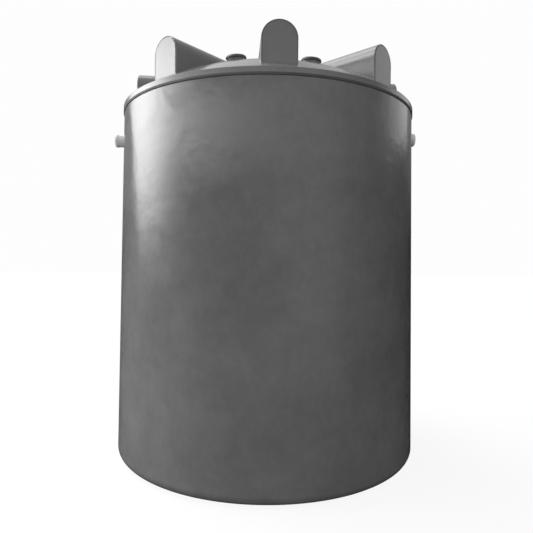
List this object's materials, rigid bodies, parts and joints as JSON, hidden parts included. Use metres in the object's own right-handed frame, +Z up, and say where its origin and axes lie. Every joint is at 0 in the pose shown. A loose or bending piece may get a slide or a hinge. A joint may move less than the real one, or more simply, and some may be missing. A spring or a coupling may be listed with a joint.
{
  "type": "biogas digester",
  "caption": "Upright cylindrical biogas digester tank with a ribbed domed lid, capped inspection ports and a pipe stub on each side.",
  "frame": {"origin": "centre of the underside, on the floor that the tank stands on", "axes": "+Z up along the tank's axis, -Y out of the front rib of the lid, +X towards the inlet pipe"},
  "size_m": [2.732, 2.59, 3.323],
  "materials": {
    "body_gelcoat": "glossy grey gelcoat",
    "lid_gelcoat": "glossy grey gelcoat",
    "black_seal": "matt black",
    "black_cap": "satin black",
    "grey_pipe": "satin light grey"
  },
  "bodies": {
    "root": {"dome_crown": "lid_gelcoat", "inlet_lip": "grey_pipe", "inlet_pipe": "grey_pipe", "lid_panel_1": "lid_gelcoat", "lid_panel_2": "lid_gelcoat", "lid_panel_3": "lid_gelcoat", "lid_panel_4": "lid_gelcoat", "lid_panel_5": "lid_gelcoat", "lid_panel_6": "lid_gelcoat", "lid_panel_7": "lid_gelcoat", "lid_panel_8": "lid_gelcoat", "lid_seal": "black_seal", "outlet_lip": "grey_pipe", "outlet_pipe": "grey_pipe", "port_cap_back_left": "black_cap", "port_cap_back_right": "black_cap", "port_cap_front_left": "black_cap", "port_cap_front_right": "black_cap", "port_neck_back_left": "lid_gelcoat", "port_neck_back_right": "lid_gelcoat", "port_neck_front_left": "lid_gelcoat", "port_neck_front_right": "lid_gelcoat", "rib_back": "lid_gelcoat", "rib_back_left": "lid_gelcoat", "rib_back_right": "lid_gelcoat", "rib_front": "lid_gelcoat", "rib_front_left": "lid_gelcoat", "rib_front_right": "lid_gelcoat", "rib_left": "lid_gelcoat", "rib_right": "lid_gelcoat", "tank_floor": "body_gelcoat", "wall_back": "body_gelcoat", "wall_back_left": "body_gelcoat", "wall_back_right": "body_gelcoat", "wall_front": "body_gelcoat", "wall_front_left": "body_gelcoat", "wall_front_right": "body_gelcoat", "wall_left": "body_gelcoat", "wall_right": "body_gelcoat"}
  },
  "joints": []
}
